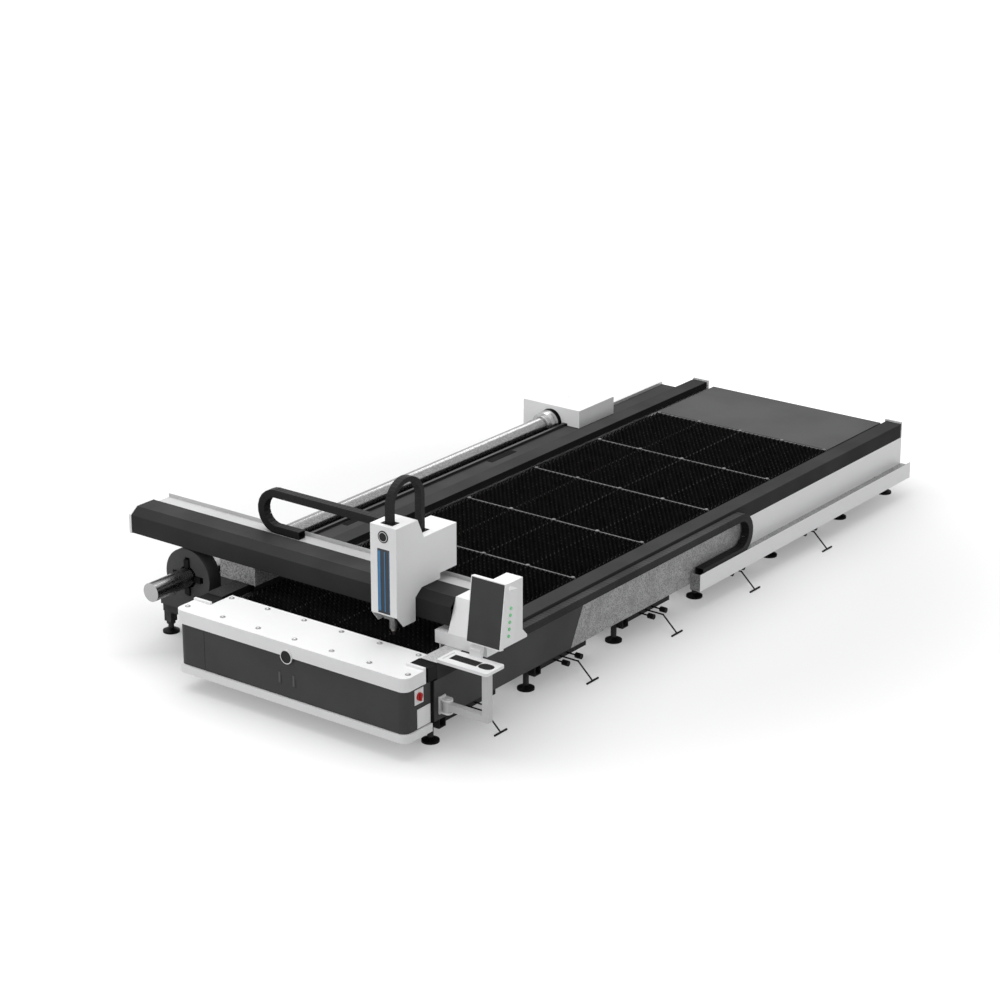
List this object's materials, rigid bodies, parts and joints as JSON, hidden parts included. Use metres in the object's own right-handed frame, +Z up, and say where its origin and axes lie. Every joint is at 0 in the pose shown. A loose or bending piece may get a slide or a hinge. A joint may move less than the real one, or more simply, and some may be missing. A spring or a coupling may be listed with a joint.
{
  "type": "flat-bed sheet and pipe laser cutting machine",
  "caption": "Open flat-bed fibre laser cutter with a slat table, a long gantry beam and a chuck-held pipe section beside the bed, drag chains, scrap carts and a swinging console.",
  "frame": {"origin": "on the floor under the middle of the machine's box", "axes": "+Y along the bed away from the operator's end, +X to the right seen from that end, +Z up"},
  "size_m": [4.215, 7.972, 2.0761],
  "materials": {
    "white_paint": "satin powder coat",
    "charcoal_paint": "satin powder coat",
    "beam_paint": "matt powder coat",
    "frame_paint": "satin paint",
    "black_paint": "matt",
    "slat_steel": "mill scale, scorched",
    "cradle_steel": "bare edges",
    "galvanised": "speckled zinc",
    "grey_paint": "satin",
    "light_grey_paint": "satin",
    "rail_steel": "ground",
    "spindle_steel": "turned",
    "pipe_steel": "polished pipe",
    "chain_plastic": "moulded links",
    "head_metal": "anodised",
    "nozzle_copper": "turned copper",
    "screen_glass": "dark pane",
    "window_glass": "dark pane",
    "key_plastic": "matt",
    "red_plastic": "gloss",
    "lamp_green": "lit lens"
  },
  "bodies": {
    "bed": {"bed_frame": "frame_paint", "levelling_feet": "black_paint", "slat_cradle": "cradle_steel", "table_slats": "slat_steel", "rail_beams": "charcoal_paint", "linear_rails": "rail_steel", "rail_end_caps": "light_grey_paint", "rail_end_stops": "black_paint", "front_box": "charcoal_paint", "front_cover": "white_paint", "front_trim": "white_paint", "cover_bolts": "rail_steel", "front_boss": "white_paint", "side_plates": "white_paint", "front_side_panels": "charcoal_paint", "rear_side_panels": "galvanised", "rear_deck": "grey_paint", "cable_tray": "white_paint", "tube_bed": "frame_paint", "tube_rails": "rail_steel", "chuck_housing": "charcoal_paint", "arm_bracket": "white_paint", "side_chain": "chain_plastic"},
    "power_switch": {"power_switch": "red_plastic"},
    "gantry": {"gantry_beam": "beam_paint", "beam_rails": "rail_steel", "beam_end_plate": "white_paint", "chain_trough": "light_grey_paint", "left_carriage": "galvanised", "right_carriage": "white_paint", "right_end_cover": "white_paint", "beam_chain": "chain_plastic"},
    "head": {"head_carriage": "head_metal", "head_housing": "white_paint", "head_window": "window_glass", "head_chain": "chain_plastic"},
    "cutting_head": {"cutting_head": "head_metal", "nozzle": "nozzle_copper"},
    "console": {"console_arm": "white_paint", "keyboard_tray": "white_paint", "tray_inserts": "key_plastic", "monitor_shell": "white_paint", "monitor_screen": "screen_glass", "control_box": "white_paint", "indicator_lamps": "lamp_green"},
    "rear_chuck": {"rear_chuck_box": "white_paint"},
    "rear_spindle": {"rear_spindle": "spindle_steel", "work_pipe": "pipe_steel"},
    "front_spindle": {"front_chuck_disc": "black_paint"},
    "chuck_jaw_1": {"chuck_jaw_1": "black_paint"},
    "chuck_jaw_2": {"chuck_jaw_2": "black_paint"},
    "chuck_jaw_3": {"chuck_jaw_3": "black_paint"},
    "chuck_jaw_4": {"chuck_jaw_4": "black_paint"},
    "pipe_support_1": {"pipe_support_1": "black_paint"},
    "pipe_support_2": {"pipe_support_2": "black_paint"},
    "scrap_cart_1": {"scrap_cart_1": "frame_paint"},
    "scrap_cart_2": {"scrap_cart_2": "frame_paint"},
    "scrap_cart_3": {"scrap_cart_3": "frame_paint"},
    "scrap_cart_4": {"scrap_cart_4": "frame_paint"},
    "scrap_cart_5": {"scrap_cart_5": "frame_paint"}
  },
  "joints": [
    {"name": "gantry_slide", "type": "slide", "parent": "bed", "child": "gantry", "axis": [0, 1, 0], "range_m": [0, 5.9], "deforming": ["side_chain"]},
    {"name": "head_slide", "type": "slide", "parent": "gantry", "child": "head", "axis": [1, 0, 0], "range_m": [-2.44, 0.33], "deforming": ["beam_chain"]},
    {"name": "nozzle_lift", "type": "slide", "parent": "head", "child": "cutting_head", "axis": [0, 0, 1], "range_m": [-0.02, 0.12], "deforming": ["head_chain"]},
    {"name": "console_swing", "type": "hinge", "parent": "bed", "child": "console", "pos_m": [1.6775, -3.522, 0.365], "axis": [0, 0, 1], "range_deg": [-90, 0]},
    {"name": "switch_turn", "type": "hinge", "parent": "bed", "child": "power_switch", "pos_m": [1.5918, -3.783, 0.52], "axis": [1, 0, 0], "range_deg": [0, 90]},
    {"name": "rear_chuck_slide", "type": "slide", "parent": "bed", "child": "rear_chuck", "axis": [0, 1, 0], "range_m": [-4.7, 0.04]},
    {"name": "rear_spin", "type": "hinge", "parent": "rear_chuck", "child": "rear_spindle", "pos_m": [-1.4325, 2.166, 0.64], "axis": [0, 1, 0], "continuous": true},
    {"name": "front_spin", "type": "hinge", "parent": "bed", "child": "front_spindle", "pos_m": [-1.4325, -3.219, 0.64], "axis": [0, 1, 0], "continuous": true},
    {"name": "jaw_1_slide", "type": "slide", "parent": "front_spindle", "child": "chuck_jaw_1", "axis": [0, 0, 1], "range_m": [0, 0.014]},
    {"name": "jaw_2_slide", "type": "slide", "parent": "front_spindle", "child": "chuck_jaw_2", "axis": [1, 0, 0], "range_m": [0, 0.014]},
    {"name": "jaw_3_slide", "type": "slide", "parent": "front_spindle", "child": "chuck_jaw_3", "axis": [0, 0, -1], "range_m": [0, 0.014]},
    {"name": "jaw_4_slide", "type": "slide", "parent": "front_spindle", "child": "chuck_jaw_4", "axis": [-1, 0, 0], "range_m": [0, 0.014]},
    {"name": "support_1_lift", "type": "slide", "parent": "bed", "child": "pipe_support_1", "axis": [0, 0, 1], "range_m": [0, 0.075]},
    {"name": "support_2_lift", "type": "slide", "parent": "bed", "child": "pipe_support_2", "axis": [0, 0, 1], "range_m": [0, 0.075]},
    {"name": "cart_1_pull", "type": "slide", "parent": "bed", "child": "scrap_cart_1", "axis": [1, 0, 0], "range_m": [0, 1.7]},
    {"name": "cart_2_pull", "type": "slide", "parent": "bed", "child": "scrap_cart_2", "axis": [1, 0, 0], "range_m": [0, 1.7]},
    {"name": "cart_3_pull", "type": "slide", "parent": "bed", "child": "scrap_cart_3", "axis": [1, 0, 0], "range_m": [0, 1.7]},
    {"name": "cart_4_pull", "type": "slide", "parent": "bed", "child": "scrap_cart_4", "axis": [1, 0, 0], "range_m": [0, 1.7]},
    {"name": "cart_5_pull", "type": "slide", "parent": "bed", "child": "scrap_cart_5", "axis": [1, 0, 0], "range_m": [0, 1.7]}
  ],
  "couplings": [
    {"joint": "front_spin", "follows": "rear_spin", "ratio": 1},
    {"joint": "jaw_2_slide", "follows": "jaw_1_slide", "ratio": 1},
    {"joint": "jaw_3_slide", "follows": "jaw_1_slide", "ratio": 1},
    {"joint": "jaw_4_slide", "follows": "jaw_1_slide", "ratio": 1}
  ]
}
